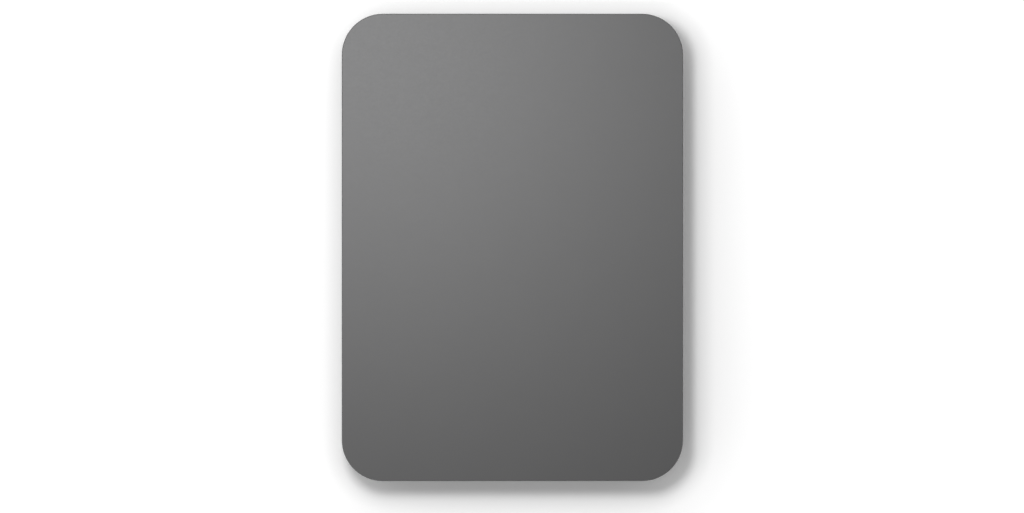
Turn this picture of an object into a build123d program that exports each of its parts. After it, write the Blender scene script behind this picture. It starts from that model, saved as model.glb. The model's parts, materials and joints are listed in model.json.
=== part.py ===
from build123d import *
import math
import os

# Portable external hard drive: a 2.5-inch disk drive and its bridge board in a two-part metal enclosure.
# Millimetres, +Z up, the plain face on top and the port on the -Y end.
# The origin is the centre of the footprint, on the surface that the feet stand on.
# The sizes are driven from the inside out: disk, drive, elastomer mounts, frame, enclosure.

# Disk pack
PLATTER_RADIUS = 32.5
PLATTER_BORE_RADIUS = 10.0
PLATTER_THICKNESS = 0.8
PLATTER_FIT = 0.02
SEAT_WIDTH = 1.7
CLAMP_THICKNESS = 0.4

# Spindle motor
HUB_WALL = 0.8
HUB_ROOF = 1.1
HUB_DROP = 0.1
SPINDLE_RADIUS = 1.25
SPINDLE_RUNNING = 0.03
SPINDLE_END_PLAY = 0.2
SLEEVE_WALL = 1.5
SLEEVE_TOP_PLAY = 0.3
BOND_FIT = 0.02
ROTOR_MAGNET_WALL = 1.0
ROTOR_MAGNET_HEIGHT = 1.7
ROTOR_MAGNET_RISE = 0.2
AIR_GAP = 0.3
STATOR_TEETH = 9
STATOR_THICKNESS = 0.9
STATOR_RING_WIDTH = 1.2
STATOR_LEDGE = 1.0
TOOTH_WIDTH = 1.1
TOOTH_TIP_WIDTH = 3.2
TOOTH_TIP_LENGTH = 0.8
WINDING_BUILD = 0.35
WINDING_END_PLAY = 0.2
MOTOR_WEB = 0.7
MOTOR_PLAY = 0.6
SKIRT_PLAY = 0.4

# Actuator
PIVOT_HUB_RADIUS = 5.0
PIVOT_CLEARANCE = 0.5
PIVOT_ANGLE = -76.3
PIVOT_SHAFT_RADIUS = 1.6
PIVOT_RUNNING = 0.03
PIVOT_END_PLAY = 0.3
BEARING_WALL = 1.7
HEAD_SETBACK = 6.0
ARM_THICKNESS = 0.9
ARM_ROOT_WIDTH = 8.4
ARM_TIP_WIDTH = 4.8
ARM_WINDOW_RIM = 1.3
ARM_CLEARANCE = 0.4
LID_CLEARANCE = 0.66
PARK_OVERRUN = 2.5
HEAD_CLEARANCE = 2.3
SUSPENSION_LENGTH = 12.0
SUSPENSION_LAP = 5.5
SUSPENSION_WIDTH = 4.2
SUSPENSION_TIP_WIDTH = 1.1
SUSPENSION_THICKNESS = 0.12
SUSPENSION_BEND = 2.0
TAB_LENGTH = 1.9
TAB_WIDTH = 0.5
SLIDER_LENGTH = 1.0
SLIDER_WIDTH = 0.8
SLIDER_HEIGHT = 0.25
SLIDER_MARGIN = 0.1
FLY_GAP = 0.05

# Voice coil motor
COIL_OFFSET = 1.5
COIL_LENGTH = 9.5
COIL_HALF_ANGLE = 19.0
COIL_BAND = 2.3
COIL_THICKNESS = 0.9
COIL_FIT = 0.06
FORK_WIDTH = 1.5
FORK_SETBACK = 0.6
YOKE_OVERHANG = 1.0
YOKE_THICKNESS = 0.6
YOKE_LID_PLAY = 0.2
YOKE_HUB_PLAY = 0.8
MAGNET_THICKNESS = 0.55
MAGNET_INSET = 0.4
LEG_LENGTH = 3.0
LEG_THICKNESS = 1.4
LEG_SETBACK = 1.4
FAN_CUTS = 4
STOP_THICKNESS = 0.9
STOP_HEIGHT = 1.4
STOP_PLAY_ANGLE = 0.8

# Parking ramp and flex cable
RAMP_LAP = 0.7
RAMP_OVERTRAVEL = 3.0
RAMP_WALL = 2.2
RAMP_FIT = 0.3
RAMP_TAB_PLAY = 0.06
RAMP_DISK_PLAY = 0.08
RAMP_EDGE_PLAY = 0.3
RAMP_TIP_PLAY = 0.25
BRACKET_LENGTH = 12.0
BRACKET_WIDTH = 5.0
BRACKET_HEIGHT = 3.2
BRACKET_GAP = 1.2
FLEX_THICKNESS = 0.12
FLEX_WIDTH = 2.0
FLEX_END_GAP = 0.1
FLEX_OFFSET = 3.0

# Drive casting and lid
BOWL_CLEARANCE = 0.7
BOWL_WALL = 1.725
BAY_CLEARANCE = 0.8
END_RIM = 10.556
BASE_CORNER_RADIUS = 2.5
LID_THICKNESS = 0.4
LID_INSET = 0.3
FILTER_WIDTH = 6.0
FILTER_THICKNESS = 2.0
FILTER_HEIGHT = 3.4
FILTER_FIT = 0.15
FILTER_ANGLE = 45.0
FILTER_SETBACK = 2.8

# Drive board and its connector
DRIVE_BOARD_INSET = 0.4
DRIVE_BOARD_THICKNESS = 0.6
DRIVE_BOARD_LENGTH = 36.0
DRIVE_BOARD_SIDE = 1.0
DRIVE_BOARD_END = 0.5
DRIVE_BOARD_FIT = 0.3
CHIP_HEIGHT = 0.35
CHIP_CLEARANCE = 0.1
CHIP_SETBACK = 7.0
CHIP_PITCH = 15.0
MEMORY_CHIP_WIDTH = 8.0
MEMORY_CHIP_LENGTH = 11.0
CONTROLLER_CHIP_SIZE = 9.0
MOTOR_CHIP_SIZE = 6.0
FLOOR_WEB = 0.65
SATA_SIDE = 2.5
SATA_FLOOR = 0.7
SATA_ROOF = 0.5
SATA_BACK = 1.4
SATA_FIT = 0.2
TONGUE_THICKNESS = 1.2
TONGUE_LENGTH = 3.8
SIGNAL_WIDTH = 10.4
POWER_WIDTH = 20.6
TONGUE_GAP = 2.4
KEY_SIZE = 0.5

# Bridge board, port and status lamp
SOCKET_DROP = 1.5
NOSE_WALL = 0.25
NOSE_SIDE = 1.45
NOSE_LENGTH = 4.0
NOSE_FIT = 0.2
NOSE_END_PLAY = 0.6
SLOT_FIT = 0.15
SLOT_DEPTH = 4.5
SOCKET_DEPTH = 6.0
SOCKET_HEIGHT = 3.4
SOCKET_END_GAP = 0.1
SOCKET_PORT_GAP = 2.3
SOCKET_LEDGE_GAP = 0.5
BRIDGE_BOARD_THICKNESS = 1.0
BRIDGE_BOARD_WIDTH = 56.0
BRIDGE_BOARD_FIT = 0.25
LEDGE_WIDTH = 5.0
BRIDGE_CHIP_WIDTH = 5.0
BRIDGE_CHIP_HEIGHT = 0.8
BRIDGE_CHIP_X = -14.0
BRIDGE_CHIP_PLAY = 0.7
PORT_WIDTH = 8.94
PORT_HEIGHT = 3.16
PORT_WALL = 0.3
PORT_LENGTH = 7.35
PORT_RECESS = 0.4
PORT_FIT = 0.15
PORT_CHAMFER = 0.25
PORT_TONGUE_WIDTH = 6.69
PORT_TONGUE_THICKNESS = 0.7
PORT_TONGUE_BEVEL = 0.15
PORT_TONGUE_SETBACK = 1.0
PORT_BACK = 2.4
LAMP_X = 14.0
LAMP_WIDTH = 3.0
LAMP_HEIGHT = 0.8
LAMP_RISE = 0.4
LAMP_FIT = 0.1
LED_DEPTH = 0.8
LED_SETBACK = 0.5

# Frame and elastomer mounts
BUMPER_WALL = 2.0
BUMPER_LENGTH = 13.0
BUMPER_LIP = 4.0
BUMPER_SOCKET_GAP = 2.925
RAIL_WIDTH = 6.225
END_RAIL_WIDTH = 2.2
FRONT_RAIL_WIDTH = 2.0
FRAME_CLEARANCE = 0.15
FRAME_WALL = 1.2
RAIL_CORES = 5
CORE_END = 6.1
SHOULDER_INSET = 2.7
RIB_INSET = 0.45
LIP_RELIEF = 0.2
CATCH_DEPTH = 0.9
CATCH_HEIGHT = 2.2
CLIP_GAP = 0.2
CLIP_THICKNESS = 1.2
CLIP_LENGTH = 6.0
BARB_DEPTH = 0.7
BARB_HEIGHT = 1.2
BARB_PLAY = 0.1

# Enclosure
WALL = 1.2
CORNER_RADIUS = 10.7
TOP_EDGE_CHAMFER = 0.2
BOTTOM_EDGE_RADIUS = 2.5
LIP_HEIGHT = 0.9
PARTING_GAP = 0.35
SPACE_BELOW_DRIVE = 1.6
SPACE_ABOVE_DRIVE = 1.6
FOOT_RADIUS = 4.5
FOOT_HEIGHT = 0.7
FOOT_INSET = 11.5

# Cutters run past the faces they cut by this much, and joined pieces lap by a tenth of it
PAST = 1.0
LAP = PAST / 10

# Heights inside the drive, from its underside
head_height = FLY_GAP + SLIDER_HEIGHT + SUSPENSION_THICKNESS + ARM_THICKNESS
surface_offset = FLY_GAP + SLIDER_HEIGHT
drive_board_top = DRIVE_BOARD_INSET + DRIVE_BOARD_THICKNESS
recess_top = drive_board_top + CHIP_HEIGHT + CHIP_CLEARANCE
bay_floor = recess_top + FLOOR_WEB
disk_bottom = bay_floor + ARM_CLEARANCE + head_height
disk_top = disk_bottom + PLATTER_THICKNESS
disk_middle = (disk_bottom + disk_top) / 2
lid_under = disk_top + head_height + LID_CLEARANCE
drive_height = lid_under + LID_THICKNESS

# Drive connector, from the blades outwards: blades, nose of the socket, mouth and body of the plug
blades_width = SIGNAL_WIDTH + TONGUE_GAP + POWER_WIDTH
nose_half_width = blades_width / 2 + SLOT_FIT + NOSE_SIDE
nose_half_height = TONGUE_THICKNESS / 2 + KEY_SIZE + SLOT_FIT + NOSE_WALL
mouth_half_width = nose_half_width + NOSE_FIT
mouth_half_height = nose_half_height + NOSE_FIT
mouth_depth = NOSE_LENGTH + NOSE_END_PLAY
plug_half_width = mouth_half_width + SATA_SIDE
plug_depth = mouth_depth + SATA_BACK
tongue_middle = drive_board_top + SATA_FLOOR + mouth_half_height
plug_top = tongue_middle + mouth_half_height + SATA_ROOF

# Plan of the drive, whose own origin is the middle of its underside
bowl_radius = PLATTER_RADIUS + BOWL_CLEARANCE
drive_width = 2 * (bowl_radius + BOWL_WALL)
pivot_distance = PLATTER_RADIUS + PIVOT_HUB_RADIUS + PIVOT_CLEARANCE
pivot_drop = -pivot_distance * math.sin(math.radians(PIVOT_ANGLE))
coil_inner = PIVOT_HUB_RADIUS + COIL_OFFSET
coil_outer = coil_inner + COIL_LENGTH
yoke_outer = coil_outer + YOKE_OVERHANG
yoke_inner = PIVOT_HUB_RADIUS + YOKE_HUB_PLAY
drive_length = drive_width / 2 + pivot_drop + yoke_outer + BAY_CLEARANCE + END_RIM
drive_near = -drive_length / 2
drive_far = drive_length / 2
spindle_y = drive_far - drive_width / 2
pivot_x = pivot_distance * math.cos(math.radians(PIVOT_ANGLE))
pivot_y = spindle_y - pivot_drop
bay_near = drive_near + END_RIM
bay_right = pivot_x + yoke_outer + BAY_CLEARANCE
seat_radius = PLATTER_BORE_RADIUS + SEAT_WIDTH
head_inner_radius = seat_radius + HEAD_CLEARANCE
park_radius = PLATTER_RADIUS + PARK_OVERRUN
arm_reach = pivot_distance - HEAD_SETBACK
arm_length = arm_reach - SUSPENSION_LENGTH
tab_inner = arm_reach + SLIDER_LENGTH / 2 + SLIDER_MARGIN
tab_outer = arm_reach + TAB_LENGTH + RAMP_TIP_PLAY
ramp_outer = tab_outer + RAMP_WALL
bay_left = pivot_x - ramp_outer - RAMP_FIT


def arm_direction(disk_radius, reach):
    # direction of the arm about the pivot, in degrees, with a point on it that far from the spindle
    opposite = (pivot_distance**2 + reach**2 - disk_radius**2) / (2 * pivot_distance * reach)
    return PIVOT_ANGLE + 180 + math.degrees(math.acos(opposite))


park_direction = arm_direction(park_radius, arm_reach)
inner_direction = arm_direction(head_inner_radius, arm_reach)
ramp_start = arm_direction(PLATTER_RADIUS - RAMP_LAP, (tab_inner + tab_outer) / 2)
ramp_end = park_direction + RAMP_OVERTRAVEL
coil_park = park_direction - 180
coil_inside = inner_direction - 180

# Spindle motor
hub_radius = PLATTER_BORE_RADIUS - PLATTER_FIT
hub_inner = hub_radius - HUB_WALL
hub_top = disk_top - HUB_DROP
roof_under = hub_top - HUB_ROOF
skirt_bottom = MOTOR_WEB + SKIRT_PLAY
magnet_outer = hub_inner - BOND_FIT
magnet_inner = magnet_outer - ROTOR_MAGNET_WALL
magnet_bottom = skirt_bottom + ROTOR_MAGNET_RISE
stator_radius = magnet_inner - AIR_GAP
stator_bottom = magnet_bottom + (ROTOR_MAGNET_HEIGHT - STATOR_THICKNESS) / 2
stator_top = stator_bottom + STATOR_THICKNESS
sleeve_radius = SPINDLE_RADIUS + SPINDLE_RUNNING + SLEEVE_WALL
stator_bore = sleeve_radius + BOND_FIT
stator_ring = stator_bore + STATOR_RING_WIDTH
tooth_tip = stator_radius - TOOTH_TIP_LENGTH

# Pivot, coil and yokes
bearing_inner = PIVOT_SHAFT_RADIUS + PIVOT_RUNNING
bearing_outer = bearing_inner + BEARING_WALL
bearing_bottom = bay_floor + PIVOT_END_PLAY
bearing_top = lid_under - PIVOT_END_PLAY
fork_inner_angle = COIL_HALF_ANGLE + math.degrees(COIL_FIT / coil_inner)
fork_outer_angle = COIL_HALF_ANGLE + math.degrees(FORK_WIDTH / coil_inner)
sweep_high = coil_park + fork_outer_angle
sweep_low = coil_inside - fork_outer_angle
leg_outer = coil_outer - LEG_SETBACK
leg_inner = leg_outer - LEG_LENGTH
leg_angle = STOP_PLAY_ANGLE + math.degrees(math.asin((LEG_THICKNESS / 2 + STOP_THICKNESS) / leg_inner))
leg_high = sweep_high + leg_angle
leg_low = sweep_low - leg_angle
yoke_end_angle = math.degrees(math.asin((LEG_THICKNESS / 2 + YOKE_OVERHANG) / leg_inner))
yoke_high = leg_high + yoke_end_angle
yoke_low = leg_low - yoke_end_angle
lower_yoke_top = bay_floor + YOKE_THICKNESS
upper_yoke_top = lid_under - YOKE_LID_PLAY
upper_yoke_bottom = upper_yoke_top - YOKE_THICKNESS

# the two faces of the disk: height, and +1 where the head is above it
head_faces = [(disk_bottom, -1), (disk_top, 1)]

# Enclosure
outer_width = drive_width + 2 * (BUMPER_WALL + RAIL_WIDTH + FRAME_CLEARANCE + WALL)
port_inside = PORT_RECESS + PORT_LENGTH - WALL - FRAME_CLEARANCE
bay_ends = port_inside + SOCKET_PORT_GAP + SOCKET_DEPTH + SOCKET_END_GAP + BUMPER_WALL + END_RAIL_WIDTH
outer_length = drive_length + bay_ends + 2 * (FRAME_CLEARANCE + WALL)
half_width = outer_width / 2
half_length = outer_length / 2
inner_width = outer_width - 2 * WALL
inner_length = outer_length - 2 * WALL
frame_width = inner_width - 2 * FRAME_CLEARANCE
frame_length = inner_length - 2 * FRAME_CLEARANCE
under = FOOT_HEIGHT
floor = under + WALL
drive_z = floor + SPACE_BELOW_DRIVE
ceiling = drive_z + drive_height + SPACE_ABOVE_DRIVE
top = ceiling + WALL
parting = under + BOTTOM_EDGE_RADIUS + LIP_HEIGHT
frame_bottom = under + BOTTOM_EDGE_RADIUS + LIP_RELIEF
drive_y = frame_length / 2 - END_RAIL_WIDTH - BUMPER_WALL - drive_length / 2
near_end = drive_y - drive_length / 2

# Bridge bay
bridge_top = drive_z + tongue_middle - SOCKET_DROP
bridge_bottom = bridge_top - BRIDGE_BOARD_THICKNESS
rail_front = -frame_length / 2
rail_back = rail_front + FRONT_RAIL_WIDTH
board_front = rail_back + BRIDGE_BOARD_FIT
board_back = near_end - BUMPER_WALL - BRIDGE_BOARD_FIT
board_half = BRIDGE_BOARD_WIDTH / 2
board_seat = board_half + BRIDGE_BOARD_FIT
ledge_x = board_half - LEDGE_WIDTH
port_front = -half_length + PORT_RECESS
port_back = port_front + PORT_LENGTH
port_z = bridge_top + PORT_HEIGHT / 2
socket_back = near_end - SOCKET_END_GAP
socket_front = socket_back - SOCKET_DEPTH
lamp_low = bridge_top + LAMP_RISE
lamp_high = lamp_low + LAMP_HEIGHT
led_front = board_front + LED_SETBACK

# Frame rails and clips
bay_half = drive_width / 2 + BUMPER_WALL
core_inner = bay_half + FRAME_WALL
core_outer = frame_width / 2 - FRAME_WALL
core_pitch = (drive_length - 2 * CORE_END) / RAIL_CORES
core_length = core_pitch - FRAME_WALL
core_y = [drive_y + core_pitch * (i - (RAIL_CORES - 1) / 2) for i in range(RAIL_CORES)]
clip_y = core_y[::2]
catch_x = core_outer - CATCH_DEPTH
catch_top = frame_bottom + CATCH_HEIGHT
barb_bottom = catch_top + BARB_PLAY
clip_top = barb_bottom + BARB_HEIGHT
clip_x = catch_x - CLIP_GAP


def plate(width, length, radius, low, high):
    return Pos(0, 0, low) * extrude(RectangleRounded(width, length, radius), high - low)


def block(x0, x1, y0, y1, low, high):
    return Pos((x0 + x1) / 2, (y0 + y1) / 2, (low + high) / 2) * Box(abs(x1 - x0), y1 - y0, high - low)


def disc(radius, low, high):
    return Pos(0, 0, (low + high) / 2) * Cylinder(radius, high - low)


def ring(outer, inner, low, high):
    return disc(outer, low, high) - disc(inner, low - PAST, high + PAST)


def lifted(face, low, high):
    return Pos(0, 0, low) * extrude(face, high - low)


def outline(points):
    return make_face(Polyline(*points, close=True))


def sector(inner, outer, start, end):
    arc_out = CenterArc((0, 0), outer, start, end - start)
    arc_in = CenterArc((0, 0), inner, start, end - start)
    return make_face([arc_out, Line(arc_out @ 1, arc_in @ 1), arc_in, Line(arc_in @ 0, arc_out @ 0)])


def polar(radius, angle):
    return (radius * math.cos(math.radians(angle)), radius * math.sin(math.radians(angle)))


def fan(inner, outer, start, end):
    # a sector sheared from sheet with straight cuts, its inner cuts clear of the inner circle
    step = (end - start) / FAN_CUTS
    angles = [start + step * i for i in range(FAN_CUTS + 1)]
    clear = inner / math.cos(math.radians(step / 2))
    return outline([polar(outer, a) for a in angles] + [polar(clear, a) for a in reversed(angles)])


def port_plane(y):
    return Plane(origin=(0, y, port_z), x_dir=(1, 0, 0), z_dir=(0, 1, 0))


def pill(width, height, y0, y1):
    return extrude(port_plane(y0) * SlotOverall(width, height), y1 - y0)


def in_drive(shape):
    return Pos(0, drive_y, drive_z) * shape


def at_spindle(shape):
    return Pos(0, spindle_y, 0) * shape


def at_pivot(shape):
    return Pos(pivot_x, pivot_y, 0) * shape


def at_arm(shape):
    return at_pivot(Rot(0, 0, park_direction) * shape)


def group(shapes):
    return Compound([solid for shape in shapes for solid in shape.solids()])


# Enclosure
def make_top_cover():
    cover = plate(outer_width, outer_length, CORNER_RADIUS, parting + PARTING_GAP, top)
    cover = chamfer(cover.faces().sort_by(Axis.Z)[-1].edges(), TOP_EDGE_CHAMFER)
    cover -= plate(inner_width, inner_length, CORNER_RADIUS - WALL, parting, ceiling)
    width = PORT_WIDTH + 2 * PORT_FIT
    height = PORT_HEIGHT + 2 * PORT_FIT
    outside = -half_length - PAST
    inside = -half_length + WALL + PAST
    cover -= pill(width, height, outside, inside)
    wide = port_plane(-half_length) * SlotOverall(width + 2 * PORT_CHAMFER, height + 2 * PORT_CHAMFER)
    narrow = port_plane(-half_length + PORT_CHAMFER) * SlotOverall(width, height)
    cover -= loft([wide, narrow])
    half = LAMP_WIDTH / 2 + LAMP_FIT
    cover -= block(LAMP_X - half, LAMP_X + half, outside, inside, lamp_low - LAMP_FIT, lamp_high + LAMP_FIT)
    return cover


def make_bottom_cover():
    cover = plate(outer_width, outer_length, CORNER_RADIUS, under, parting)
    cover = fillet(cover.faces().sort_by(Axis.Z)[0].edges(), BOTTOM_EDGE_RADIUS)
    hollow = plate(inner_width, inner_length, CORNER_RADIUS - WALL, floor, parting + PAST)
    hollow = chamfer(hollow.faces().sort_by(Axis.Z)[0].edges(), BOTTOM_EDGE_RADIUS - WALL)
    cover -= hollow
    for y in clip_y:
        clip = Pos(0, y, 0) * make_clip()
        cover += clip
        cover += mirror(clip, Plane.YZ)
    return cover


def make_clip():
    # one upright post with its barb, drawn on the +X side at y = 0
    tip = clip_x + BARB_DEPTH
    inside = clip_x - CLIP_THICKNESS
    profile = [(inside, floor - LAP), (clip_x, floor - LAP), (clip_x, barb_bottom), (tip, barb_bottom),
               (clip_x, clip_top), (inside, clip_top)]
    return Pos(0, CLIP_LENGTH / 2, 0) * extrude(Plane.XZ * outline(profile), CLIP_LENGTH)


def make_inner_frame():
    radius = CORNER_RADIUS - WALL - FRAME_CLEARANCE
    frame = plate(frame_width, frame_length, radius, frame_bottom, ceiling)
    rib_width = outer_width - 2 * RIB_INSET
    rib_length = outer_length - 2 * RIB_INSET
    frame += plate(rib_width, rib_length, CORNER_RADIUS - RIB_INSET, parting, parting + PARTING_GAP)
    low = frame_bottom - PAST
    high = ceiling + PAST
    bay_far = drive_y + drive_length / 2 + BUMPER_WALL
    frame -= block(-bay_half, bay_half, near_end - BUMPER_WALL, bay_far, low, high)
    frame -= block(-ledge_x, ledge_x, rail_back, near_end, low, high)
    frame -= block(-board_seat, board_seat, rail_back, near_end, low, bridge_top)
    frame -= block(-board_seat, board_seat, socket_front - SOCKET_LEDGE_GAP, near_end, low, high)
    gate = PORT_WIDTH / 2 + PORT_FIT
    port_top = port_z + PORT_HEIGHT / 2 + PORT_FIT
    frame -= block(-gate, gate, -half_length, rail_back + PAST, parting + PARTING_GAP, port_top)
    half = LAMP_WIDTH / 2 + LAMP_FIT
    lamp_gate = (lamp_low - LAMP_FIT, lamp_high + LAMP_FIT)
    frame -= block(LAMP_X - half, LAMP_X + half, -half_length, rail_back + PAST, *lamp_gate)
    roof = ceiling - FRAME_WALL
    for side in (-1, 1):
        for y in core_y:
            y0 = y - core_length / 2
            y1 = y + core_length / 2
            frame -= block(side * core_inner, side * core_outer, y0, y1, low, roof)
            if y in clip_y:
                outer = side * (core_outer + LAP)
                frame += block(side * catch_x, outer, y0 - LAP, y1 + LAP, frame_bottom, catch_top)
        shoulder_inner = side * (board_seat + FRAME_WALL)
        shoulder_outer = side * (frame_width / 2 - SHOULDER_INSET)
        y0 = rail_front + SHOULDER_INSET
        y1 = near_end - BUMPER_WALL - FRAME_WALL
        frame -= block(shoulder_inner, shoulder_outer, y0, y1, low, roof)
    return frame


def make_foot(x_side, y_side):
    foot = disc(FOOT_RADIUS, 0, FOOT_HEIGHT)
    return Pos(x_side * (half_width - FOOT_INSET), y_side * (half_length - FOOT_INSET), 0) * foot


def make_bumper(x_side, y_side):
    # an L-shaped corner mount around the drive, drawn at the +X +Y corner and mirrored to the others
    x = drive_width / 2
    y = drive_length / 2
    outer_x = x + BUMPER_WALL
    outer_y = y + BUMPER_WALL
    inner_x = plug_half_width + BUMPER_SOCKET_GAP
    corner = block(inner_x, outer_x, outer_y - BUMPER_LENGTH, outer_y, floor, ceiling)
    corner -= block(0, x - BUMPER_LIP, 0, y - BUMPER_LIP, floor - PAST, ceiling + PAST)
    corner -= block(0, x, 0, y, drive_z, drive_z + drive_height)
    if x_side < 0:
        corner = mirror(corner, Plane.YZ)
    if y_side < 0:
        corner = mirror(corner, Plane.XZ)
    return Pos(0, drive_y, 0) * corner


# Bridge board
def make_bridge_board():
    return block(-board_half, board_half, board_front, board_back, bridge_bottom, bridge_top)


def make_bridge_chip():
    half = BRIDGE_CHIP_WIDTH / 2
    front = board_front + BRIDGE_CHIP_PLAY
    back = socket_front - BRIDGE_CHIP_PLAY
    chip_top = bridge_top + BRIDGE_CHIP_HEIGHT
    return block(BRIDGE_CHIP_X - half, BRIDGE_CHIP_X + half, front, back, bridge_top, chip_top)


def tongue_blades(y0, y1, grow, middle):
    # the signal and power blades of the connector, each with its key at the right-hand end
    half = TONGUE_THICKNESS / 2
    left = -blades_width / 2
    power_left = left + SIGNAL_WIDTH + TONGUE_GAP
    blades = []
    for x0, x1 in ((left, left + SIGNAL_WIDTH), (power_left, power_left + POWER_WIDTH)):
        blade = block(x0 - grow, x1 + grow, y0, y1, middle - half - grow, middle + half + grow)
        blade += block(x1 - KEY_SIZE - grow, x1 + grow, y0, y1, middle, middle + half + KEY_SIZE + grow)
        blades.append(blade)
    return blades


def make_sata_socket():
    middle = drive_z + tongue_middle
    half = plug_half_width
    socket = block(-half, half, socket_front, socket_back, bridge_top, bridge_top + SOCKET_HEIGHT)
    nose_tip = near_end + NOSE_LENGTH
    low = middle - nose_half_height
    high = middle + nose_half_height
    socket += block(-nose_half_width, nose_half_width, socket_back - LAP, nose_tip, low, high)
    for slot in tongue_blades(nose_tip - SLOT_DEPTH, nose_tip + PAST, SLOT_FIT, middle):
        socket -= slot
    return socket


def make_usb_shell():
    shell = pill(PORT_WIDTH, PORT_HEIGHT, port_front, port_back)
    width = PORT_WIDTH - 2 * PORT_WALL
    height = PORT_HEIGHT - 2 * PORT_WALL
    return shell - pill(width, height, port_front - PAST, port_back + PAST)


def make_usb_tongue():
    lining = 2 * (PORT_WALL + BOND_FIT)
    body = pill(PORT_WIDTH - lining, PORT_HEIGHT - lining, port_back - PORT_BACK, port_back)
    half_w = PORT_TONGUE_WIDTH / 2
    half_h = PORT_TONGUE_THICKNESS / 2
    front = port_front + PORT_TONGUE_SETBACK
    blade = block(-half_w, half_w, front, port_back - LAP, port_z - half_h, port_z + half_h)
    return body + chamfer(blade.faces().sort_by(Axis.Y)[0].edges(), PORT_TONGUE_BEVEL)


def make_status_led():
    half = LAMP_WIDTH / 2
    return block(LAMP_X - half, LAMP_X + half, led_front, led_front + LED_DEPTH, bridge_top, lamp_high)


def make_light_pipe():
    half = LAMP_WIDTH / 2
    return block(LAMP_X - half, LAMP_X + half, -half_length, led_front, lamp_low, lamp_high)


# Drive casting
def make_drive_base():
    base = plate(drive_width, drive_length, BASE_CORNER_RADIUS, 0, lid_under)
    base -= lifted(make_cavity(), bay_floor, lid_under + PAST)
    well = disc(seat_radius + MOTOR_PLAY, MOTOR_WEB, bay_floor + PAST)
    well -= disc(sleeve_radius + STATOR_LEDGE, MOTOR_WEB, stator_bottom)
    well += disc(sleeve_radius + BOND_FIT, MOTOR_WEB, stator_bottom)
    base -= at_spindle(well)
    half = drive_width / 2 - DRIVE_BOARD_SIDE + DRIVE_BOARD_FIT
    far = drive_near + DRIVE_BOARD_END + DRIVE_BOARD_LENGTH + DRIVE_BOARD_FIT
    base -= block(-half, half, drive_near - PAST, far, -PAST, recess_top)
    half = plug_half_width + SATA_FIT
    far = drive_near + plug_depth + SATA_FIT
    base -= block(-half, half, drive_near - PAST, far, -PAST, plug_top + SATA_FIT)
    return base


def make_cavity():
    # plan of the hollow: the disk bowl, the bay of the actuator and ramp, and the filter pocket
    bowl = Circle(bowl_radius)
    bay_length = spindle_y - bay_near
    bay = Pos((bay_left + bay_right) / 2, -bay_length / 2) * Rectangle(bay_right - bay_left, bay_length)
    pocket_far = bowl_radius + FILTER_SETBACK + FILTER_THICKNESS + FILTER_FIT
    pocket = Pos(pocket_far / 2, 0) * Rectangle(pocket_far, FILTER_WIDTH + 2 * FILTER_FIT)
    return at_spindle(bowl + bay + Rot(0, 0, FILTER_ANGLE) * pocket)


def make_drive_lid():
    width = drive_width - 2 * LID_INSET
    length = drive_length - 2 * LID_INSET
    return plate(width, length, BASE_CORNER_RADIUS - LID_INSET, lid_under, drive_height)


def make_air_filter():
    near = bowl_radius + FILTER_SETBACK
    half = FILTER_WIDTH / 2
    slab = block(near, near + FILTER_THICKNESS, -half, half, bay_floor, bay_floor + FILTER_HEIGHT)
    return at_spindle(Rot(0, 0, FILTER_ANGLE) * slab)


# Spindle motor and disk pack
def make_bearing_sleeve():
    bore = SPINDLE_RADIUS + SPINDLE_RUNNING
    return at_spindle(ring(sleeve_radius, bore, MOTOR_WEB, roof_under - SLEEVE_TOP_PLAY))


def make_stator_core():
    core = disc(stator_ring, stator_bottom, stator_top)
    half = TOOTH_WIDTH / 2
    tip = TOOTH_TIP_WIDTH / 2
    face = math.sqrt(stator_radius**2 - tip**2)
    tooth = block(0, face, -half, half, stator_bottom, stator_top)
    tooth += block(tooth_tip, face, -tip, tip, stator_bottom, stator_top)
    for i in range(STATOR_TEETH):
        core += Rot(0, 0, i * 360 / STATOR_TEETH) * tooth
    return at_spindle(core - disc(stator_bore, stator_bottom - PAST, stator_top + PAST))


def make_stator_windings():
    inner = stator_ring + WINDING_END_PLAY
    outer = tooth_tip - WINDING_END_PLAY
    half = TOOTH_WIDTH / 2 + BOND_FIT
    low = stator_bottom - BOND_FIT
    high = stator_top + BOND_FIT
    build = WINDING_BUILD
    coil = block(inner, outer, -half - build, half + build, low - build, high + build)
    coil -= block(inner - PAST, outer + PAST, -half, half, low, high)
    return group(at_spindle(Rot(0, 0, i * 360 / STATOR_TEETH) * coil) for i in range(STATOR_TEETH))


def make_spindle_hub():
    profile = [(0, MOTOR_WEB + SPINDLE_END_PLAY), (SPINDLE_RADIUS, MOTOR_WEB + SPINDLE_END_PLAY),
               (SPINDLE_RADIUS, roof_under), (hub_inner, roof_under), (hub_inner, skirt_bottom),
               (seat_radius, skirt_bottom), (seat_radius, disk_bottom), (hub_radius, disk_bottom),
               (hub_radius, hub_top), (0, hub_top)]
    return at_spindle(revolve(Plane.XZ * outline(profile), Axis.Z))


def make_rotor_magnet():
    return at_spindle(ring(magnet_outer, magnet_inner, magnet_bottom, magnet_bottom + ROTOR_MAGNET_HEIGHT))


def make_platter():
    return at_spindle(ring(PLATTER_RADIUS, PLATTER_BORE_RADIUS, disk_bottom, disk_top))


def make_disk_clamp():
    return at_spindle(disc(seat_radius, disk_top, disk_top + CLAMP_THICKNESS))


# Pivot and head stack
def make_pivot_shaft():
    return at_pivot(disc(PIVOT_SHAFT_RADIUS, bay_floor, lid_under))


def make_pivot_bearing():
    return at_pivot(ring(bearing_outer, bearing_inner, bearing_bottom, bearing_top))


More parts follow.
